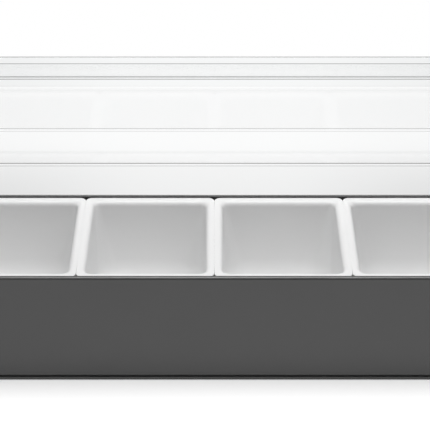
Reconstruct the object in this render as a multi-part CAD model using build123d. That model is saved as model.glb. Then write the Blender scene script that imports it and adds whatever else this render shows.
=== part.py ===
"""Bar garnish tray: a moulded trough, four lift-out inserts and a clear hinged lid.

Millimetres, +Z up. X runs along the tray, -Y is the front. The origin is on the
table, under the middle of the base. The lid is drawn closed and then swung open,
because it stands open at rest.
"""
import os
from math import cos, radians, sin, tan

from build123d import *

# inserts
insert_count = 4
insert_pitch = 120.0
insert_gap = 0.2
insert_flange_depth = 143.2
insert_flange_corner = 6.0
insert_flange_thickness = 2.0
insert_flange_edge = 0.4
insert_side_flange = 7.5
insert_end_flange = 9.0
insert_wall = 2.0
insert_floor = 2.2
insert_cavity_depth = 80.0
insert_top_corner = 9.0
insert_bottom_corner = 13.0
insert_bottom_radius = 12.0
insert_draft = 2.0
insert_rolled_edge = 2.0

# base shell
base_corner = 6.0
base_wall = 3.2
base_draft = 0.75
rim_width = 4.8
rim_edge_radius = 2.0
rim_rise = 1.8
rim_inner_edge = 0.5
insert_clearance = 0.4
seat_gap = 0.2
ledge_width = 5.0
ledge_thickness = 2.6
gusset_height = 9.0
gusset_thickness = 2.0
gussets_per_insert = 3
space_under_inserts = 15.9
floor_thickness = 3.2
floor_fillet = 4.0

# groove, foot rim and underside
groove_top = 5.0
groove_bottom = 3.0
groove_depth = 1.8
body_lower_edge = 1.0
foot_rim_edge = 0.4
foot_stand_off = 0.3
underside_depth = 3.4
underside_rib = 2.4
underside_cross_ribs = 7
underside_long_ribs = 3

# non-slip feet
foot_diameter = 14.0
foot_socket_clearance = 0.2
foot_socket_depth = 3.0
foot_socket_wall = 2.4
foot_edge = 0.6
foot_inset_x = 24.0
foot_inset_y = 20.0

# hinge
axis_inset = 7.0
axis_drop = 10.0
pin_diameter = 5.0
pin_running_fit = 0.06
pin_press_fit = 0.02
pin_head_diameter = 11.0
pin_head_thickness = 2.0
pin_head_edge = 0.8
pin_head_play = 0.2
pin_tip_chamfer = 0.6
pin_end_space = 0.4
boss_diameter = 12.0
pad_diameter = 13.0
pad_height = 0.4

# lid
lid_thickness = 2.8
lid_open_angle = 88.3
lid_crease_radius = 0.25
lid_end_gap = 0.8
lid_edge_radius = 0.8
lid_rest_gap = 0.3
lid_stop_gap = 0.3
back_edge_reach = 13.8
back_panel = 47.7
back_panel_slope = 30.0
upper_back_panel = 34.6
upper_back_slope = 10.0
front_panel_slope = 43.5
finger_lip = 6.4
lip_overhang = 2.7
cheek_overlap = 6.0
cheek_front_corner = 4.0
ear_radius = 9.0

# a cut runs past its face by this much
overrun = 1.0

# what follows from the sizes above
insert_length = insert_pitch - insert_gap
opening_length = insert_count * insert_pitch - insert_gap + 2 * insert_clearance
opening_depth = insert_flange_depth + 2 * insert_clearance
base_length = opening_length + 2 * rim_width
base_depth = opening_depth + 2 * rim_width
floor_bottom = foot_stand_off + underside_depth
floor_top = floor_bottom + floor_thickness
insert_bottom = floor_top + space_under_inserts
cavity_floor = insert_bottom + insert_floor
flange_top = cavity_floor + insert_cavity_depth
flange_bottom = flange_top - insert_flange_thickness
base_height = flange_top + rim_rise
wall_draw = (base_height - groove_top) * tan(radians(base_draft))
ledge_top = flange_bottom - seat_gap
ledge_bottom = ledge_top - ledge_thickness
axis_y = base_depth / 2 - axis_inset
axis_z = base_height - axis_drop
hinge_axis = Axis((0, axis_y, axis_z), (1, 0, 0))
cheek_inner = base_length / 2 + lid_end_gap
cheek_outer = cheek_inner + lid_thickness
insert_centres = [(i - (insert_count - 1) / 2) * insert_pitch for i in range(insert_count)]
sides = (("left", -1), ("right", 1))


def tapered_block(length, depth, corner, top, bottom, draft):
    """A rounded block whose sides draw in by the draft angle from top to bottom."""
    drawn_in = (top - bottom) * tan(radians(draft))
    upper = Plane.XY.offset(top) * RectangleRounded(length, depth, corner)
    lower_corner = corner - drawn_in / 2
    lower_size = (length - 2 * drawn_in, depth - 2 * drawn_in)
    lower = Plane.XY.offset(bottom) * RectangleRounded(*lower_size, lower_corner)
    return loft([lower, upper], ruled=True)


def straight_block(length, depth, corner, top, bottom):
    """A rounded block with upright sides."""
    outline = Plane.XY.offset(bottom) * RectangleRounded(length, depth, corner)
    return extrude(outline, amount=top - bottom)


def edges_at(part, height):
    """The edges that lie flat at a height."""
    return part.edges().filter_by_position(Axis.Z, height, height, inclusive=(True, True))


def rod(diameter, start, end, y, z):
    """A round bar along X from one place to another."""
    circle = Plane.YZ.offset(start) * Pos(y, z) * Circle(diameter / 2)
    return extrude(circle, amount=end - start)


def foot_places():
    """Where the four feet stand, by name."""
    x = base_length / 2 - foot_inset_x
    y = base_depth / 2 - foot_inset_y
    return {
        f"{row}_{side}": (sign * x, y_sign * y)
        for row, y_sign in (("front", -1), ("rear", 1))
        for side, sign in sides
    }


def base_body():
    """The outer form: drafted walls with a rounded rim, and a foot rim below a groove."""
    body = tapered_block(base_length, base_depth, base_corner, base_height, groove_top, base_draft)
    body = fillet(edges_at(body, base_height), rim_edge_radius)
    body = fillet(edges_at(body, groove_top), body_lower_edge)
    rim_size = (base_length - 2 * wall_draw, base_depth - 2 * wall_draw)
    foot_rim = straight_block(*rim_size, base_corner, groove_bottom, foot_stand_off)
    foot_rim = fillet(edges_at(foot_rim, groove_bottom), foot_rim_edge)
    drawn_in = wall_draw + groove_depth
    core_size = (base_length - 2 * drawn_in, base_depth - 2 * drawn_in)
    core_top = groove_top + body_lower_edge
    core_corner = base_corner - groove_depth
    return body + straight_block(*core_size, core_corner, core_top, foot_stand_off) + foot_rim


def base_cavity():
    """The space inside the walls, below the ledge."""
    corner = base_corner - base_wall / 2
    size = (base_length - 2 * base_wall, base_depth - 2 * base_wall)
    space = tapered_block(*size, corner, ledge_bottom, floor_top, base_draft)
    return fillet(edges_at(space, floor_top), min(floor_fillet, corner / 2))


def underside():
    """The pocket under the floor, less its lattice of ribs and the sockets of the feet."""
    drawn_in = wall_draw + groove_depth + base_wall
    length = base_length - 2 * drawn_in
    depth = base_depth - 2 * drawn_in
    bottom = foot_stand_off - overrun
    pocket = straight_block(length, depth, base_corner - base_wall, floor_bottom, bottom)
    height = floor_bottom - bottom
    middle = (floor_bottom + bottom) / 2
    for i in range(underside_cross_ribs):
        x = ((i + 1) / (underside_cross_ribs + 1) - 1 / 2) * length
        pocket -= Pos(x, 0, middle) * Box(underside_rib, depth, height)
    for i in range(underside_long_ribs):
        y = ((i + 1) / (underside_long_ribs + 1) - 1 / 2) * depth
        pocket -= Pos(0, y, middle) * Box(length, underside_rib, height)
    post = foot_diameter + 2 * foot_socket_clearance + 2 * foot_socket_wall
    for x, y in foot_places().values():
        pocket -= Pos(x, y, middle) * Cylinder(post / 2, height)
    return pocket


def gussets():
    """Small triangular webs that hold the ledge to the long walls."""
    inner = opening_depth / 2 - ledge_width
    outer = base_depth / 2 - base_wall
    toe = ledge_bottom - gusset_height
    web = Polyline((inner, ledge_bottom), (outer, ledge_bottom), (outer, toe), close=True)
    face = Plane.YZ * make_face(web)
    gusset = extrude(face, amount=gusset_thickness / 2, both=True)
    count = insert_count * gussets_per_insert
    spacing = opening_length / count
    webs = []
    for i in range(count):
        x = (i - (count - 1) / 2) * spacing
        webs.append(Pos(x, 0, 0) * gusset)
        webs.append(mirror(Pos(x, 0, 0) * gusset, about=Plane.XZ))
    return webs


def base_shell():
    """The trough: walls, rim, ledge, floor, hinge bosses, gussets, ribs and sockets."""
    shell = base_body() - base_cavity()
    for web in gussets():
        shell += web
    for _, sign in sides:
        inner = sign * (opening_length / 2 - ledge_width)
        pad = sign * (base_length / 2 + pad_height)
        shell += rod(boss_diameter, inner, sign * (base_length / 2 - base_wall / 2), axis_y, axis_z)
        shell += rod(pad_diameter, sign * (base_length / 2 - base_wall / 2), pad, axis_y, axis_z)
    corner = insert_flange_corner - insert_clearance
    recess = straight_block(opening_length, opening_depth, corner, base_height + overrun, ledge_top)
    shell -= recess
    inner_size = (opening_length - 2 * ledge_width, opening_depth - 2 * ledge_width)
    shell -= straight_block(*inner_size, corner, ledge_top + overrun, ledge_bottom - overrun)
    rim_inside = [
        edge
        for edge in edges_at(shell, base_height)
        if abs(edge.center().X) < opening_length / 2 + rim_inner_edge
        and abs(edge.center().Y) < opening_depth / 2 + rim_inner_edge
    ]
    shell = fillet(rim_inside, rim_inner_edge)
    shell -= underside()
    socket_top = foot_stand_off + foot_socket_depth
    socket = foot_diameter / 2 + foot_socket_clearance
    for x, y in foot_places().values():
        middle = (socket_top + foot_stand_off - overrun) / 2
        shell -= Pos(x, y, middle) * Cylinder(socket, socket_top - foot_stand_off + overrun)
    for _, sign in sides:
        end = sign * (base_length / 2 + pad_height + overrun)
        start = sign * (opening_length / 2 - ledge_width + base_wall / 2)
        shell -= rod(pin_diameter + 2 * pin_press_fit, start, end, axis_y, axis_z)
    return shell


def insert_tub():
    """One insert: a flange, drafted walls with a rolled edge, and a rounded floor."""
    opening = (insert_length - 2 * insert_side_flange, insert_flange_depth - 2 * insert_end_flange)
    drawn_in = insert_cavity_depth * tan(radians(insert_draft))
    floor_size = (opening[0] - 2 * drawn_in, opening[1] - 2 * drawn_in)

    def tub(wall, floor_drop, top):
        """The drafted form of the cavity, grown by a wall thickness."""
        low = Plane.XY.offset(cavity_floor - floor_drop)
        high = Plane.XY.offset(top)
        low_size = (floor_size[0] + 2 * wall, floor_size[1] + 2 * wall)
        high_size = (opening[0] + 2 * wall, opening[1] + 2 * wall)
        low_outline = low * RectangleRounded(*low_size, insert_bottom_corner + wall)
        high_outline = high * RectangleRounded(*high_size, insert_top_corner + wall)
        form = loft([low_outline, high_outline], ruled=True)
        return fillet(edges_at(form, cavity_floor - floor_drop), insert_bottom_radius + wall)

    plate = (insert_length, insert_flange_depth, insert_flange_corner)
    flange = straight_block(*plate, flange_top, flange_bottom)
    flange = fillet(edges_at(flange, flange_top), insert_flange_edge)
    body = flange + tub(insert_wall, insert_floor, flange_bottom)
    body -= tub(0, 0, flange_top)
    mouth = [
        edge
        for edge in edges_at(body, flange_top)
        if abs(edge.center().X) < opening[0] / 2 + insert_flange_edge
        and abs(edge.center().Y) < opening[1] / 2 + insert_flange_edge
    ]
    return fillet(mouth, min(insert_rolled_edge, insert_side_flange / 2))


def back_edge_rise():
    """How far above the axis the closed lid's back edge is, so that it meets the rear wall when open."""
    opened = radians(lid_open_angle)
    lean = radians(back_panel_slope + lid_open_angle - 90)
    contact_drop = axis_drop + back_edge_reach * sin(opened) + lid_thickness / 2 * sin(lean)
    wall = axis_inset - contact_drop * tan(radians(base_draft))
    swung_back = wall + lid_stop_gap + lid_thickness / 2 * cos(lean)
    return (swung_back - back_edge_reach * cos(opened)) / sin(opened)


def panel_points():
    """The middle line of the closed lid's panels, from its back edge to its finger lip."""
    back_edge = (axis_y + back_edge_reach, axis_z + back_edge_rise())
    back_slope = radians(back_panel_slope)
    upper_slope = radians(upper_back_slope)
    first_bend = (back_edge[0] - back_panel * cos(back_slope), back_edge[1] + back_panel * sin(back_slope))
    top_height = first_bend[1] + upper_back_panel * sin(upper_slope)
    second_bend = (first_bend[0] - upper_back_panel * cos(upper_slope), top_height)
    lip_height = base_height + lid_rest_gap + lid_thickness / 2
    lip_tip = (-base_depth / 2 - lip_overhang, lip_height)
    lip_root = (lip_tip[0] + finger_lip, lip_height)
    front_run = (top_height - lip_height) / tan(radians(front_panel_slope))
    third_bend = (lip_root[0] + front_run, top_height)
    return [back_edge, first_bend, second_bend, third_bend, lip_root, lip_tip]


def line_beside(points, distance):
    """The corners of a line that runs beside another, at a distance to its right."""
    spots = [Vector(*point) for point in points]
    ways = [(after - before).normalized() for before, after in zip(spots, spots[1:])]
    beside = []
    for spot, way_in, way_out in zip(spots, ways[:1] + ways, ways + ways[-1:]):
        across = (way_in + way_out).normalized().rotate(Axis.Z, -90)
        stretch = across.dot(way_in.rotate(Axis.Z, -90))
        beside.append(spot + across * (distance / stretch))
    return beside


def round_corners(face, spots, radius):
    """Round the corners of a face that lie at the given spots."""
    corners = [face.vertices().sort_by_distance(spot)[0] for spot in spots]
    return fillet(corners, radius)


def lid_panels(points):
    """The panels, from end to end, with crisp creases and a rounded back edge and lip."""
    over = line_beside(points, lid_thickness / 2)
    under = line_beside(points, -lid_thickness / 2)
    section = make_face(Polyline(*over, *reversed(under), close=True))
    section = round_corners(section, over[1:-1] + under[1:-1], lid_crease_radius)
    section = round_corners(section, [over[0], under[0], over[-1], under[-1]], lid_edge_radius)
    return extrude(Plane.YZ * section, amount=cheek_outer, both=True)


def lid_cheek(points, sign):
    """One end of the lid, with the ear that turns on the hinge pin."""
    bottom = base_height - cheek_overlap
    front = points[-2][0]
    outline = Polyline(*points[:-1], (front, bottom), (axis_y + ear_radius, bottom), close=True)
    face = make_face(outline)
    front_vertex = face.vertices().sort_by(Axis.X)[0:2].sort_by(Axis.Y)[0]
    face = fillet(front_vertex, cheek_front_corner)
    face += Pos(axis_y, axis_z) * Circle(ear_radius)
    face -= Pos(axis_y, axis_z) * Circle(pin_diameter / 2 + pin_running_fit)
    cheek = extrude(Plane.YZ.offset(cheek_inner) * face, amount=lid_thickness)
    return cheek if sign > 0 else mirror(cheek, about=Plane.YZ)


def lid():
    """The clear lid, swung open on its hinge."""
    points = panel_points()
    closed = lid_panels(points)
    for _, sign in sides:
        closed += lid_cheek(points, sign)
    return closed.rotate(hinge_axis, -lid_open_angle)


def hinge_pin(sign):
    """A headed pin through the lid's ear into the base."""
    under_head = cheek_outer + pin_head_play
    tip = opening_length / 2 - ledge_width + base_wall / 2 + pin_end_space
    pin = rod(pin_diameter, tip, under_head + pin_head_thickness, axis_y, axis_z)
    pin = chamfer(pin.edges().sort_by(Axis.X)[0], pin_tip_chamfer)
    pin += rod(pin_head_diameter, under_head, under_head + pin_head_thickness, axis_y, axis_z)
    pin = fillet(pin.edges().sort_by(Axis.X)[-1], pin_head_edge)
    return pin if sign > 0 else mirror(pin, about=Plane.YZ)


def foot(x, y):
    """A rubber disc, pressed into its socket."""
    height = foot_stand_off + foot_socket_depth
    disc = Pos(x, y, height / 2) * Cylinder(foot_diameter / 2, height)
    return fillet(edges_at(disc, 0), foot_edge)


nodes = {"base_shell": base_shell(), "lid": lid()}
for number, centre in enumerate(insert_centres, start=1):
    nodes[f"insert_{number}"] = Pos(centre, 0, 0) * insert_tub()
for side, sign in sides:
    nodes[f"hinge_pin_{side}"] = hinge_pin(sign)
for name, (x, y) in foot_places().items():
    nodes[f"foot_{name}"] = foot(x, y)

os.makedirs("parts", exist_ok=True)
for name, solid in nodes.items():
    export_step(solid, f"parts/{name}.step")
    print(name, round(solid.volume / 1000, 2), "cm3")
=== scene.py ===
"""Looks of the bar garnish tray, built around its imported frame. Metres, +Z up."""
from math import atan2, copysign, cos, hypot, radians, sin, tan

import bmesh
import bpy
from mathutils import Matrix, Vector


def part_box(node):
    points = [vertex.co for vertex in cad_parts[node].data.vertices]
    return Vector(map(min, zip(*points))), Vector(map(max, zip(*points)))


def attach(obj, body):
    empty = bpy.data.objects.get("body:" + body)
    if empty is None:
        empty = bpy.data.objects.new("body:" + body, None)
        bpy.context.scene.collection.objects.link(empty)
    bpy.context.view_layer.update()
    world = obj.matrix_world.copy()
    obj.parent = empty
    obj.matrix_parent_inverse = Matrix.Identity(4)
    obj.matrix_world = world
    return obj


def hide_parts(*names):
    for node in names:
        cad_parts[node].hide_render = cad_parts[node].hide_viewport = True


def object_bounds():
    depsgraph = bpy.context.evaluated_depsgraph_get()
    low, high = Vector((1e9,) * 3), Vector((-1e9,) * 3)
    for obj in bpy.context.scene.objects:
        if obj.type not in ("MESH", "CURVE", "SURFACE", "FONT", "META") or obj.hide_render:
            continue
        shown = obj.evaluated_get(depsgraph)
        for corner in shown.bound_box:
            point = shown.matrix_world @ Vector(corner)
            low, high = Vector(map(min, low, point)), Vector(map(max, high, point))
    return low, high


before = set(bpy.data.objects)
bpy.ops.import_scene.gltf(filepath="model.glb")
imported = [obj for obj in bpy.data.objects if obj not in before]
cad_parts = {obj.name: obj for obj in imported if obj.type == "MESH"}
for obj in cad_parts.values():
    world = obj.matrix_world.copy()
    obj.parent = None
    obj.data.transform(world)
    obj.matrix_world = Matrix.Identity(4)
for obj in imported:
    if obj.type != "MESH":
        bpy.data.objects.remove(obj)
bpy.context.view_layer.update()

# the photograph: its size, its lens and where it was taken from
PHOTO_PIXELS = 430
FOCAL_PIXELS = 1701
SENSOR_MM = 36.0
LOOK_DOWN = radians(29.0)
CAMERA_BEFORE_FRONT = 1.2549
CAMERA_OVER_RIM = 0.7577
CAMERA_SIDE = 0.0006

# the floor, which keeps the tray's shadow near it and is pure white from some way off
FLOOR_SIZE = 6.0
FLOOR_WHITE = (0.93, 0.93, 0.93, 1.0)
FLOOR_SEEN = (1.0, 1.0, 1.0, 1.0)
FLOOR_GLOW = 0.28
FLOOR_ROUGHNESS = 0.9
SIDE_KEPT = 0.2
REAR_STRETCH = 1.6
PURE_STARTS = 0.26
PURE_FULL = 0.36

# the far floor as the lid shows it, with a painted shadow: how much dimmer behind the tray and to its
# sides, and where
REAR_PAINTED_SHADOW = 0.08
REAR_SHADOW_RISE = (0.0, 0.1)
REAR_SHADOW_FALL = (0.24, 0.42)
SIDE_PAINTED_SHADE = 0.1
SIDE_SHADE_RISE = (0.05, 0.25)

# the surround, its dark front in mirrored light, and the lamp overhead
WALL_LIGHT = 0.25
FRONT_DARK = 0.1
FRONT_DARK_FALL = (-0.7, -0.3)
OVERHEAD_PLACE = (0.07, -0.04, 1.3)
OVERHEAD_SIZE = (1.0, 0.8)
OVERHEAD_POWER = 12.6

# colours, linear
BASE_GREY = (0.052, 0.052, 0.052, 1.0)
INSERT_WHITE = (0.825, 0.825, 0.825, 1.0)
RUBBER_BLACK = (0.02, 0.02, 0.02, 1.0)
RUBBER_LIGHTER = 1.6
CLEAR = (0.965, 0.97, 0.97, 1.0)
# painted shade: the lid a little greyer towards its ends
CLEAR_WITH_PAINTED_END_SHADE = (0.93, 0.935, 0.935, 1.0)
CLEAR_TO_LAMPS = (0.94, 0.94, 0.94, 1.0)
# painted shade: the dark of the lines along the lid's bends
BEND_LINE_PAINTED_SHADE = (0.02, 0.02, 0.02, 1.0)

# finishes: how rough and how refractive, and noises in waves per metre
BASE_ROUGHNESS = 0.24
INSERT_ROUGHNESS = 0.4
RUBBER_ROUGHNESS = 0.8
ROUGHNESS_DRIFT = 0.03
LID_ROUGHEST = 0.03
SHEET_ROUGHNESS = 0.02
PLASTIC_IOR = 1.6
CLEAR_IOR = 1.49
TONE_WAVES = 14.0
GLOSS_WAVES = 60.0
PEEL_WAVES = 900.0
PEEL_HEIGHT = 0.0002
HAZE_WAVES = 40.0
GRAIN_WAVES = 700.0
GRAIN_HEIGHT = 0.0003
GRAIN_STRENGTH = 0.3
NOISE_SPAN = (0.3, 0.7)

# painted shade along the lid's bends: dark lines that stand in for the bends' refraction, set beside them;
# depth and height on the open lid, and how dark
LID_PAINTED_BEND_LINES = (
    (0.07845, 0.24620, 1.0),
    (0.07620, 0.24640, 0.5),
    (0.07586, 0.24020, 0.65),
    (0.10540, 0.21401, 1.0),
    (0.10265, 0.21258, 0.6),
    (0.10417, 0.16128, 0.7),
    (0.10406, 0.15843, 0.4),
    (0.09949, 0.12713, 1.0),
    (0.09872, 0.12463, 0.5),
)
PAINTED_LINE_HALF = 0.00032
PAINTED_LINE_FADE = 0.000064
LID_CLEAR_HALF = 0.06
LID_FRONT_PANEL = (0.2045, 0.2055)

# the trough's rim: its moulded rounds, and the softer ones that the photograph shows
RIM_PAD_HEIGHT = 0.0004
RIM_WIDTH = 0.0048
RIM_CORNER = 0.006
RIM_ROUND = 0.002
RIM_FRONT_SOFT = 0.0021
RIM_REAR_SOFT = 0.00325
RIM_DRAFT = radians(0.75)
OPENING_CORNER = 0.0056
OPENING_ROUND = 0.0005
OPENING_SOFT_ROUND = 0.0015
RIM_SLACK = 0.00005

# one insert, and how many steps each round of it takes
INSERT_PITCH = 0.12
SIDE_FLANGE = 0.0075
END_FLANGE = 0.008
FLANGE_THICKNESS = 0.002
FLANGE_CORNER = 0.006
FLANGE_TOP_EDGE = 0.00015
FLANGE_LOWER_EDGE = 0.0002
TUB_WALL = 0.002
TUB_FLOOR = 0.0022
MOUTH_ROUND = 0.005
FLOOR_ROUND = 0.02
MOUTH_CORNER = 0.0055
FLOOR_CORNER = 0.021
WALL_DRAFT = radians(2.0)
SNUG_GAP = 0.00002
FRONT_DRAW = 0.0001
REAR_DRAW = 0.00005
DRAW_REACH = 0.015
BESIDE_ARC = 0.0003
FLOOR_STEPS = 8
WALL_STEPS = 6
LOWER_EDGE_STEPS = 3
TOP_EDGE_STEPS = 4
MOUTH_STEPS = 8
CORNER_STEPS = 10
SIDE_STEPS = 10

# points of one piece that lie this close are one point
MERGE_DISTANCE = 0.000001


def add_camera():
    """The photograph's view: level with the tray's length and looking down on it."""
    low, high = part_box("base_shell")
    data = bpy.data.cameras.new("camera")
    data.sensor_width = SENSOR_MM
    data.lens = FOCAL_PIXELS * SENSOR_MM / PHOTO_PIXELS
    camera = bpy.data.objects.new("camera", data)
    camera.location = (CAMERA_SIDE, low[1] - CAMERA_BEFORE_FRONT, high[2] + CAMERA_OVER_RIM)
    camera.rotation_euler = (radians(90) - LOOK_DOWN, 0, 0)
    bpy.context.collection.objects.link(camera)
    bpy.context.scene.camera = camera


def material(name):
    """A new node material with its Principled shader."""
    made = bpy.data.materials.new(name)
    made.use_nodes = True
    return made, made.node_tree, made.node_tree.nodes["Principled BSDF"]


def feed(tree, slot, value):
    """Give a node's input a plain value, or link another node's output to it."""
    if isinstance(value, bpy.types.NodeSocket):
        tree.links.new(value, slot)
    else:
        slot.default_value = value


def noise(tree, scale, detail=2.0):
    """A noise on Object coordinates; scale is in waves per metre."""
    coords = tree.nodes.new("ShaderNodeTexCoord")
    made = tree.nodes.new("ShaderNodeTexNoise")
    made.inputs["Scale"].default_value = scale
    made.inputs["Detail"].default_value = detail
    tree.links.new(coords.outputs["Object"], made.inputs["Vector"])
    return made.outputs["Fac"]


def place_parts(tree, kind="Object"):
    """The x, y and z of where a point is."""
    coords = tree.nodes.new("ShaderNodeTexCoord")
    parts = tree.nodes.new("ShaderNodeSeparateXYZ")
    tree.links.new(coords.outputs[kind], parts.inputs["Vector"])
    return [parts.outputs[axis] for axis in "XYZ"]


def worked_out(tree, operation, *values):
    """A Math node on sockets or plain numbers."""
    made = tree.nodes.new("ShaderNodeMath")
    made.operation = operation
    for slot, value in zip(made.inputs, values):
        feed(tree, slot, value)
    return made.outputs["Value"]


def ramp(tree, source, start, end, low, high, kind="SMOOTHSTEP"):
    """A value that goes from low to high, smoothly unless a kind says otherwise."""
    made = tree.nodes.new("ShaderNodeMapRange")
    made.interpolation_type = kind
    made.inputs["From Min"].default_value = start
    made.inputs["From Max"].default_value = end
    made.inputs["To Min"].default_value = low
    made.inputs["To Max"].default_value = high
    tree.links.new(source, made.inputs["Value"])
    return made.outputs["Result"]


def spread(tree, source, low, high):
    """A noise turned into a range of values."""
    return ramp(tree, source, *NOISE_SPAN, low, high, "LINEAR")


def most(tree, largest, *others):
    """The largest of several values."""
    for other in others:
        largest = worked_out(tree, "MAXIMUM", largest, other)
    return largest


def blended(tree, factor, first, second):
    """One shader turning into another."""
    mix = tree.nodes.new("ShaderNodeMixShader")
    tree.links.new(factor, mix.inputs["Fac"])
    tree.links.new(first, mix.inputs[1])
    tree.links.new(second, mix.inputs[2])
    return mix.outputs["Shader"]


def distance(tree, first, second):
    """The length of two legs at a right angle."""
    squares = [worked_out(tree, "MULTIPLY", leg, leg) for leg in (first, second)]
    return worked_out(tree, "SQRT", worked_out(tree, "ADD", *squares))


def bump(tree, shader, source, strength, height):
    """Small relief on a surface."""
    made = tree.nodes.new("ShaderNodeBump")
    made.inputs["Strength"].default_value = strength
    made.inputs["Distance"].default_value = height
    tree.links.new(source, made.inputs["Height"])
    tree.links.new(made.outputs["Normal"], shader.inputs["Normal"])


def scaled(colour, factor):
    """A lighter or darker colour."""
    return tuple(min(1.0, part * factor) for part in colour[:3]) + (1.0,)


def tone_between(tree, factor, first, second):
    """One colour turning into another; each is a colour or a node's output."""
    made = tree.nodes.new("ShaderNodeMix")
    made.data_type = "RGBA"
    tree.links.new(factor, made.inputs["Factor"])
    feed(tree, made.inputs["A"], first)
    feed(tree, made.inputs["B"], second)
    return made.outputs["Result"]


def moulded_plastic(name, colour, roughness, tone_drift, relief):
    """Injection-moulded plastic: a faint drift of tone and gloss, and a faint orange peel."""
    made, tree, shader = material(name)
    broad = noise(tree, TONE_WAVES)
    tone = tone_between(tree, broad, scaled(colour, 1 - tone_drift), scaled(colour, 1 + tone_drift))
    tree.links.new(tone, shader.inputs["Base Color"])
    drift = noise(tree, GLOSS_WAVES, detail=4.0)
    rough = spread(tree, drift, roughness - ROUGHNESS_DRIFT, roughness + ROUGHNESS_DRIFT)
    tree.links.new(rough, shader.inputs["Roughness"])
    bump(tree, shader, noise(tree, PEEL_WAVES), relief, PEEL_HEIGHT)
    shader.inputs["IOR"].default_value = PLASTIC_IOR
    return made


def lid_tone_and_painted_shade(tree):
    """Clear in the middle, with painted shade that greys it a little towards the ends, and painted dark
    lines along the bends.
    """
    _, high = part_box("lid")
    x, y, z = place_parts(tree)
    # painted shade: greyer towards the lid's ends
    painted_end_shade = ramp(tree, worked_out(tree, "ABSOLUTE", x), LID_CLEAR_HALF, high[0], 0.0, 1.0)
    tone = tone_between(tree, painted_end_shade, CLEAR, CLEAR_WITH_PAINTED_END_SHADE)
    start, end = PAINTED_LINE_HALF - PAINTED_LINE_FADE, PAINTED_LINE_HALF + PAINTED_LINE_FADE
    # painted shade: a dark line beside each bend, standing in for the light the bend refracts away
    for line_y, line_z, painted_darkness in LID_PAINTED_BEND_LINES:
        across = worked_out(tree, "SUBTRACT", y, line_y)
        above = worked_out(tree, "SUBTRACT", z, line_z)
        line = ramp(tree, distance(tree, across, above), start, end, painted_darkness, 0.0)
        tone = tone_between(tree, line, tone, BEND_LINE_PAINTED_SHADE)
    return tone


def on_front_panel(tree):
    """One on the lid's steep front panel and its lip, where the sheet is seen almost edge-on."""
    height = place_parts(tree)[2]
    return ramp(tree, height, *LID_FRONT_PANEL, 0.0, 1.0)


def plain_sheet(tree, tone):
    """A thin clear sheet: light goes straight through it, and its near face is glossy."""
    clear = tree.nodes.new("ShaderNodeBsdfTransparent")
    tree.links.new(tone, clear.inputs["Color"])
    gloss = tree.nodes.new("ShaderNodeBsdfGlossy")
    gloss.inputs["Roughness"].default_value = SHEET_ROUGHNESS
    fresnel = tree.nodes.new("ShaderNodeFresnel")
    fresnel.inputs["IOR"].default_value = CLEAR_IOR
    behind = tree.nodes.new("ShaderNodeNewGeometry").outputs["Backfacing"]
    facing = worked_out(tree, "SUBTRACT", 1.0, behind)
    near = worked_out(tree, "MULTIPLY", fresnel.outputs["Fac"], facing)
    return blended(tree, near, clear.outputs["BSDF"], gloss.outputs["BSDF"])


def clear_plastic():
    """The lid: clear, polished and very slightly hazed, and it lets the lamps through."""
    made, tree, shader = material("clear_plastic")
    # the lid's clear tone, with its painted shade at the ends and along the bends
    tone = lid_tone_and_painted_shade(tree)
    tree.links.new(tone, shader.inputs["Base Color"])
    shader.inputs["Transmission Weight"].default_value = 1.0
    shader.inputs["IOR"].default_value = CLEAR_IOR
    haze = noise(tree, HAZE_WAVES, detail=3.0)
    tree.links.new(spread(tree, haze, 0.0, LID_ROUGHEST), shader.inputs["Roughness"])
    path = tree.nodes.new("ShaderNodeLightPath")
    through = tree.nodes.new("ShaderNodeBsdfTransparent")
    through.inputs["Color"].default_value = CLEAR_TO_LAMPS
    panels = blended(tree, on_front_panel(tree), shader.outputs["BSDF"], plain_sheet(tree, tone))
    surface = blended(tree, path.outputs["Is Shadow Ray"], panels, through.outputs["BSDF"])
    tree.links.new(surface, tree.nodes["Material Output"].inputs["Surface"])
    return made


def foot_rubber():
    """Matt black rubber with a fine grain."""
    made, tree, shader = material("foot_rubber")
    grain = noise(tree, GRAIN_WAVES, detail=4.0)
    tone = tone_between(tree, grain, RUBBER_BLACK, scaled(RUBBER_BLACK, RUBBER_LIGHTER))
    tree.links.new(tone, shader.inputs["Base Color"])
    bump(tree, shader, grain, GRAIN_STRENGTH, GRAIN_HEIGHT)
    shader.inputs["Roughness"].default_value = RUBBER_ROUGHNESS
    return made


def give(node, made):
    """Put a material on a CAD node."""
    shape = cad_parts[node]
    shape.data.materials.clear()
    shape.data.materials.append(made)


def dress_pieces():
    """A finish for every piece: on its moulded shape, or on the shape that stands in for it."""
    base = moulded_plastic("base_plastic", BASE_GREY, BASE_ROUGHNESS, tone_drift=0.06, relief=0.03)
    white = moulded_plastic("insert_plastic", INSERT_WHITE, INSERT_ROUGHNESS, tone_drift=0.01, relief=0.02)
    clear = clear_plastic()
    rubber = foot_rubber()
    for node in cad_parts:
        if node.startswith("foot"):
            give(node, rubber)
        elif node == "lid":
            give(node, clear)
        elif node.startswith("hinge_pin"):
            give(node, base)
    add_trough(base)
    add_inserts(white)


def softened(spot, top, half, corner, moulded, soft, side, draft):
    """A point of a round along the rim, moved onto a softer round; other points stay.

    Side is 1 along the trough's outer edge and -1 along the edge of its opening.
    """
    core = [edge - corner for edge in half]
    past = [max(abs(spot[i]) - core[i], 0.0) for i in range(2)]
    reach = hypot(*past)
    # how far the point is from the drafted wall's face, and how far above the foot of its round
    inset = (corner - reach) * side - (top - spot[2]) * tan(draft)
    up = spot[2] - top + moulded
    if up < -RIM_SLACK or not -RIM_SLACK < inset < moulded + RIM_SLACK:
        return spot
    # the point at the same turn of the softer round
    turn = atan2(moulded - inset, max(up, 0.0))
    drop = soft * (1 - cos(turn))
    inset = soft * (1 - sin(turn)) + drop * tan(draft)
    stretch = (corner - inset * side) / reach
    x, y = (copysign(min(abs(spot[i]), core[i]) + past[i] * stretch, spot[i]) for i in range(2))
    return Vector((x, y, top - drop))


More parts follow.
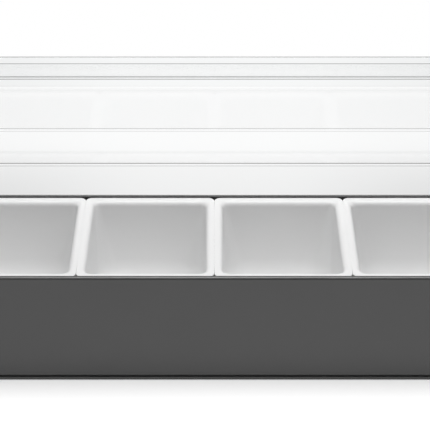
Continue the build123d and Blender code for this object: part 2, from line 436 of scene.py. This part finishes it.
def add_trough(plastic):
    """The trough's shell with a softer rim, most of all at the rear, and with its own normals kept."""
    _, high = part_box("base_shell")
    half = (high[0] - RIM_PAD_HEIGHT, high[1] + RIM_ROUND * tan(RIM_DRAFT))
    opening = tuple(edge - RIM_WIDTH for edge in half)
    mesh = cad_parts["base_shell"].data.copy()
    kept = mesh.attributes.new("kept_normal", "FLOAT_VECTOR", "CORNER")
    for i, corner in enumerate(mesh.corner_normals):
        kept.data[i].vector = corner.vector
    made = bmesh.new()
    made.from_mesh(mesh)
    bmesh.ops.remove_doubles(made, verts=made.verts, dist=MERGE_DISTANCE)
    opening_rounds = (OPENING_CORNER, OPENING_ROUND, OPENING_SOFT_ROUND)
    for vert in made.verts:
        rearward = (vert.co.y / high[1] + 1) / 2
        soft = RIM_FRONT_SOFT + (RIM_REAR_SOFT - RIM_FRONT_SOFT) * rearward
        moved = softened(vert.co, high[2], half, RIM_CORNER, RIM_ROUND, soft, 1, RIM_DRAFT)
        vert.co = softened(moved, high[2], opening, *opening_rounds, -1, 0.0)
    made.to_mesh(mesh)
    made.free()
    mesh.normals_split_custom_set([spot.vector for spot in mesh.attributes["kept_normal"].data])
    mesh.attributes.remove(mesh.attributes["kept_normal"])
    mesh.materials.clear()
    mesh.materials.append(plastic)
    trough = bpy.data.objects.new("trough_shell", mesh)
    bpy.context.collection.objects.link(trough)
    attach(trough, "base")
    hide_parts("base_shell")


def quarter(steps):
    """The angles of a quarter turn."""
    return [radians(90) * i / steps for i in range(steps + 1)]


def insert_section(length, depth, height):
    """An insert's section: each point's insets from side and end, height, corner, and 1 if it draws in."""
    cavity = height - TUB_FLOOR

    def wall_point(line, inward, level):
        """A point beside the cavity's drafted wall, whose line is taken at a height."""
        drawn = (cavity - line) * tan(WALL_DRAFT)
        corner = FLOOR_CORNER + (MOUTH_CORNER - FLOOR_CORNER) * line / cavity - inward
        corner = max(corner, BESIDE_ARC)
        return (SIDE_FLANGE + drawn + inward, END_FLANGE + drawn + inward, level, corner, 0.0)

    def flange_point(inset, level):
        """A point on the flange's outer edge."""
        return (inset, inset, level, FLANGE_CORNER - inset, 1.0)

    def floor_points(wall, level):
        """From the middle of a floor, round its edge and up the wall."""
        bend = FLOOR_ROUND + wall
        points = [(length / 2, depth / 2, level, 0.0, 0.0)]
        points.append(wall_point(FLOOR_ROUND, bend - wall + BESIDE_ARC, level))
        for turn in quarter(FLOOR_STEPS):
            inward = bend * (1 - sin(turn)) - wall
            points.append(wall_point(FLOOR_ROUND, inward, level + bend * (1 - cos(turn))))
        return points

    def wall_points(wall, start, end):
        """Up a wall in even steps."""
        levels = [start + (end - start) * i / WALL_STEPS for i in range(1, WALL_STEPS + 1)]
        return [wall_point(level - TUB_FLOOR, -wall, level) for level in levels]

    low_edge = height - FLANGE_THICKNESS
    points = floor_points(TUB_WALL, 0.0)
    points += wall_points(TUB_WALL, FLOOR_ROUND + TUB_WALL, low_edge)
    for turn in quarter(LOWER_EDGE_STEPS):
        inset = FLANGE_LOWER_EDGE * (1 - sin(turn))
        points.append(flange_point(inset, low_edge + FLANGE_LOWER_EDGE * (1 - cos(turn))))
    for turn in reversed(quarter(TOP_EDGE_STEPS)):
        inset = FLANGE_TOP_EDGE * (1 - sin(turn))
        points.append(flange_point(inset, height - FLANGE_TOP_EDGE * (1 - cos(turn))))
    points.append(flange_point(FLANGE_TOP_EDGE + BESIDE_ARC, height))
    mouth = cavity - MOUTH_ROUND
    points.append(wall_point(mouth, -MOUTH_ROUND - BESIDE_ARC, height))
    for turn in quarter(MOUTH_STEPS):
        drop = MOUTH_ROUND * (1 - cos(turn))
        points.append(wall_point(mouth, MOUTH_ROUND * (sin(turn) - 1), height - drop))
    points += reversed(wall_points(0.0, FLOOR_ROUND + TUB_FLOOR, height - MOUTH_ROUND - BESIDE_ARC))
    points += reversed(floor_points(0.0, TUB_FLOOR))
    return points


def added(tree, kind, **links):
    """A new node with its named inputs linked."""
    made = tree.nodes.new(kind)
    for name, socket in links.items():
        tree.links.new(socket, made.inputs[name.replace("_", " ")])
    return made


def sampled(tree, section, value, data_type, index):
    """A value of the section's point with some index."""
    made = tree.nodes.new("GeometryNodeSampleIndex")
    made.data_type = data_type
    tree.links.new(section, made.inputs["Geometry"])
    tree.links.new(value, made.inputs["Value"])
    tree.links.new(index, made.inputs["Index"])
    return made.outputs["Value"]


def named_value(tree, name):
    """A number kept on the section's points."""
    made = tree.nodes.new("GeometryNodeInputNamedAttribute")
    made.data_type = "FLOAT"
    made.inputs["Name"].default_value = name
    return made.outputs["Attribute"]


def tub_tree():
    """Geometry Nodes that turn a section into rings of a rounded oblong and skin them."""
    tree = bpy.data.node_groups.new("insert_tub", "GeometryNodeTree")
    tree.interface.new_socket("Section", in_out="INPUT", socket_type="NodeSocketGeometry")
    for name in ("Length", "Depth", "Front draw", "Rear draw", "Draw reach"):
        tree.interface.new_socket(name, in_out="INPUT", socket_type="NodeSocketFloat")
    for name in ("Corner steps", "Side steps"):
        tree.interface.new_socket(name, in_out="INPUT", socket_type="NodeSocketInt")
    tree.interface.new_socket("Place", in_out="INPUT", socket_type="NodeSocketVector")
    tree.interface.new_socket("Plastic", in_out="INPUT", socket_type="NodeSocketMaterial")
    tree.interface.new_socket("Tub", in_out="OUTPUT", socket_type="NodeSocketGeometry")
    given = tree.nodes.new("NodeGroupInput").outputs
    section = given["Section"]

    def calc(operation, *values):
        """A Math node of this tree."""
        return worked_out(tree, operation, *values)

    # a flat grid, one row for each point of the section and one column for each step round it
    corner_steps, side_steps = given["Corner steps"], given["Side steps"]
    span = calc("ADD", corner_steps, side_steps)
    columns = calc("MULTIPLY", span, 4)
    rows = added(tree, "GeometryNodeAttributeDomainSize", Geometry=section).outputs["Point Count"]
    grid = added(tree, "GeometryNodeMeshGrid", Vertices_X=rows, Vertices_Y=calc("ADD", columns, 1))
    position = tree.nodes.new("GeometryNodeInputPosition").outputs["Position"]
    place = added(tree, "ShaderNodeSeparateXYZ", Vector=position)
    along = calc("ADD", place.outputs["X"], 0.5)
    across = calc("ADD", place.outputs["Y"], 0.5)
    row = calc("ROUND", calc("MULTIPLY", along, calc("SUBTRACT", rows, 1)))
    column = calc("ROUND", calc("MULTIPLY", across, columns))

    # what the section says about this row
    insets = sampled(tree, section, position, "FLOAT_VECTOR", row)
    spot = added(tree, "ShaderNodeSeparateXYZ", Vector=insets)
    corner = sampled(tree, section, named_value(tree, "corner"), "FLOAT", row)
    edge = sampled(tree, section, named_value(tree, "edge"), "FLOAT", row)

    # how far round this column is: which corner, the turn there, and the way to the next corner
    which = calc("FLOOR", calc("DIVIDE", column, span))
    step = calc("SUBTRACT", column, calc("MULTIPLY", which, span))
    turned = calc("DIVIDE", calc("MINIMUM", step, corner_steps), corner_steps)
    angle = calc("MULTIPLY", calc("ADD", which, turned), radians(90))
    onward = calc("DIVIDE", calc("MAXIMUM", calc("SUBTRACT", step, corner_steps), 0), side_steps)
    middle = calc("MULTIPLY", calc("ADD", which, 0.5), radians(90))
    next_middle = calc("ADD", middle, radians(90))

    def on_axis(function, outside, inset):
        """Where the point is on one axis: round a corner, then straight on to the next one."""
        reach = calc("SUBTRACT", calc("SUBTRACT", calc("DIVIDE", outside, 2), inset), corner)
        here = calc("SIGN", calc(function, middle))
        there = calc("SIGN", calc(function, next_middle))
        side = calc("ADD", here, calc("MULTIPLY", calc("SUBTRACT", there, here), onward))
        round_corner = calc("MULTIPLY", corner, calc(function, angle))
        return calc("ADD", calc("MULTIPLY", reach, side), round_corner)

    x = on_axis("COSINE", given["Length"], spot.outputs["X"])
    y = on_axis("SINE", given["Depth"], spot.outputs["Y"])

    # the flange's sides draw in a little towards its corners
    straight = calc("SUBTRACT", calc("DIVIDE", given["Depth"], 2), corner)
    start = calc("SUBTRACT", straight, given["Draw reach"])
    beyond = calc("MAXIMUM", calc("SUBTRACT", calc("ABSOLUTE", y), start), 0)
    part = calc("MINIMUM", calc("DIVIDE", beyond, given["Draw reach"]), 1)
    is_front = calc("LESS_THAN", y, 0)
    front = calc("MULTIPLY", given["Front draw"], is_front)
    rear = calc("MULTIPLY", given["Rear draw"], calc("SUBTRACT", 1, is_front))
    draw = calc("MULTIPLY", calc("MULTIPLY", calc("ADD", front, rear), part), edge)
    x = calc("SUBTRACT", x, calc("MULTIPLY", calc("SIGN", x), draw))

    # the grid's points go there, the ring is closed, and the skin becomes a plain piece
    centred = added(tree, "ShaderNodeCombineXYZ", X=x, Y=y, Z=spot.outputs["Z"])
    placed = tree.nodes.new("ShaderNodeVectorMath")
    tree.links.new(centred.outputs["Vector"], placed.inputs[0])
    tree.links.new(given["Place"], placed.inputs[1])
    moved = added(tree, "GeometryNodeSetPosition", Geometry=grid.outputs["Mesh"])
    tree.links.new(placed.outputs["Vector"], moved.inputs["Position"])
    merged = added(tree, "GeometryNodeMergeByDistance", Geometry=moved.outputs["Geometry"])
    merged.inputs["Distance"].default_value = MERGE_DISTANCE
    outward = added(tree, "GeometryNodeFlipFaces", Mesh=merged.outputs["Geometry"])
    smooth = added(tree, "GeometryNodeSetShadeSmooth", Geometry=outward.outputs["Mesh"])
    real = added(tree, "GeometryNodeRealizeInstances", Geometry=smooth.outputs["Geometry"])
    coated = added(tree, "GeometryNodeSetMaterial", Material=given["Plastic"])
    tree.links.new(real.outputs["Geometry"], coated.inputs["Geometry"])
    result = tree.nodes.new("NodeGroupOutput")
    tree.links.new(coated.outputs["Geometry"], result.inputs["Tub"])
    return tree


def grown(name, base, tree, **values):
    """A plain mesh object, grown from a base mesh by a node tree with its inputs set."""
    shape = bpy.data.objects.new(name, base)
    bpy.context.collection.objects.link(shape)
    modifier = shape.modifiers.new("grow", "NODES")
    modifier.node_group = tree
    for item in tree.interface.items_tree:
        key = item.name.replace(" ", "_").lower()
        if key in values:
            modifier[item.identifier] = values[key]
    view = bpy.context.evaluated_depsgraph_get()
    grown_mesh = bpy.data.meshes.new_from_object(shape.evaluated_get(view), depsgraph=view)
    shape.modifiers.clear()
    shape.data = grown_mesh
    return shape


def add_inserts(plastic):
    """The four tubs, grown from one section."""
    tree = tub_tree()
    for node in sorted(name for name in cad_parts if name.startswith("insert")):
        low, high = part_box(node)
        length, depth, height = (high[i] - low[i] for i in range(3))
        section = insert_section(length, depth, height)
        base = bpy.data.meshes.new(f"{node}_section")
        base.from_pydata([point[:3] for point in section], [], [])
        for slot, name in ((3, "corner"), (4, "edge")):
            kept = base.attributes.new(name, "FLOAT", "POINT")
            kept.data.foreach_set("value", [point[slot] for point in section])
        centre = ((low[0] + high[0]) / 2, (low[1] + high[1]) / 2, low[2])
        sizes = {"length": INSERT_PITCH - SNUG_GAP, "depth": depth, "place": centre}
        draws = {"front_draw": FRONT_DRAW, "rear_draw": REAR_DRAW, "draw_reach": DRAW_REACH}
        steps = {"corner_steps": CORNER_STEPS, "side_steps": SIDE_STEPS}
        tub = grown(f"{node}_tub", base, tree, plastic=plastic, **sizes, **draws, **steps)
        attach(tub, node)
        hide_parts(node)


def glow(tree, strength):
    """White light from a surface."""
    made = tree.nodes.new("ShaderNodeEmission")
    feed(tree, made.inputs["Strength"], strength)
    return made.outputs["Emission"]


def far_glow_with_painted_shadow(tree, x, y):
    """The far floor's white in the lid, with a painted shadow: a little dimmer just behind the tray, more
    so to the sides.
    """
    behind = ramp(tree, y, *REAR_SHADOW_RISE, 0.0, 1.0)
    near = worked_out(tree, "MULTIPLY", behind, ramp(tree, y, *REAR_SHADOW_FALL, 1.0, 0.0))
    sideways = ramp(tree, worked_out(tree, "ABSOLUTE", x), *SIDE_SHADE_RISE, 0.0, SIDE_PAINTED_SHADE)
    dimmed = worked_out(tree, "ADD", REAR_PAINTED_SHADOW, sideways)
    return worked_out(tree, "SUBTRACT", 1.0, worked_out(tree, "MULTIPLY", near, dimmed))


def floor_white():
    """White that keeps the tray's shadow near it and turns pure white away from it; in the lid that far
    white carries a painted shadow.
    """
    made, tree, shader = material("floor_white")
    shader.inputs["Base Color"].default_value = FLOOR_WHITE
    shader.inputs["Roughness"].default_value = FLOOR_ROUGHNESS
    shader.inputs["Specular IOR Level"].default_value = 0.0
    shown = tree.nodes.new("ShaderNodeBsdfDiffuse")
    shown.inputs["Color"].default_value = FLOOR_SEEN
    both = tree.nodes.new("ShaderNodeAddShader")
    tree.links.new(shown.outputs["BSDF"], both.inputs[0])
    tree.links.new(glow(tree, FLOOR_GLOW), both.inputs[1])
    x, y, _ = place_parts(tree)
    beside = worked_out(tree, "SUBTRACT", worked_out(tree, "ABSOLUTE", x), SIDE_KEPT)
    aside = most(tree, beside, 0.0)
    behind = worked_out(tree, "MULTIPLY", y, REAR_STRETCH)
    onward = most(tree, behind, worked_out(tree, "MULTIPLY", y, -1.0))
    away = ramp(tree, distance(tree, aside, onward), PURE_STARTS, PURE_FULL, 0.0, 1.0)
    path = tree.nodes.new("ShaderNodeLightPath")
    seen = path.outputs["Is Camera Ray"]
    # the far floor in the lid and in reflections: white with a painted shadow behind the tray and painted
    # shade to its sides
    far = blended(tree, seen, glow(tree, far_glow_with_painted_shadow(tree, x, y)), glow(tree, 1.0))
    white = blended(tree, away, both.outputs["Shader"], far)
    shown_to = most(tree, seen, path.outputs["Is Glossy Ray"], path.outputs["Is Transmission Ray"])
    surface = blended(tree, shown_to, shader.outputs["BSDF"], white)
    tree.links.new(surface, tree.nodes["Material Output"].inputs["Surface"])
    return made


def add_floor():
    """A plain white table top."""
    low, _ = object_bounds()
    mesh = bpy.data.meshes.new("floor")
    half = FLOOR_SIZE / 2
    corners = [(-half, -half), (half, -half), (half, half), (-half, half)]
    mesh.from_pydata([(x, y, low[2]) for x, y in corners], [], [(0, 1, 2, 3)])
    floor = bpy.data.objects.new("floor", mesh)
    bpy.context.collection.objects.link(floor)
    mesh.materials.append(floor_white())


def add_lamp(name, place, aim, size, power):
    """A soft oblong lamp that the camera doesn't see."""
    data = bpy.data.lights.new(name, "AREA")
    data.shape = "RECTANGLE"
    data.size, data.size_y = size
    data.energy = power
    lamp = bpy.data.objects.new(name, data)
    lamp.location = place
    lamp.rotation_euler = (Vector(aim) - Vector(place)).to_track_quat("-Z", "Y").to_euler()
    lamp.visible_camera = False
    lamp.visible_transmission = False
    bpy.context.collection.objects.link(lamp)


def background(tree, strength):
    """A white surround of some strength."""
    made = tree.nodes.new("ShaderNodeBackground")
    made.inputs["Color"].default_value = (1, 1, 1, 1)
    feed(tree, made.inputs["Strength"], strength)
    return made.outputs["Background"]


def light_studio():
    """A white surround with a dim front for gloss to show, and one wide lamp overhead."""
    world = bpy.data.worlds.new("studio")
    bpy.context.scene.world = world
    world.use_nodes = True
    tree = world.node_tree
    tree.nodes.remove(tree.nodes["Background"])
    _, y, _ = place_parts(tree, "Generated")
    mirrored = background(tree, ramp(tree, y, *FRONT_DARK_FALL, FRONT_DARK, 1.0))
    path = tree.nodes.new("ShaderNodeLightPath")
    seen = most(tree, path.outputs["Is Camera Ray"], path.outputs["Is Transmission Ray"])
    surface = blended(tree, path.outputs["Is Glossy Ray"], background(tree, WALL_LIGHT), mirrored)
    surface = blended(tree, seen, surface, background(tree, 1.0))
    tree.links.new(surface, tree.nodes["World Output"].inputs["Surface"])
    add_lamp("overhead", OVERHEAD_PLACE, OVERHEAD_PLACE[:2] + (0,), OVERHEAD_SIZE, OVERHEAD_POWER)
    bpy.context.scene.view_settings.view_transform = "Standard"


add_camera()
add_floor()
light_studio()
dress_pieces()
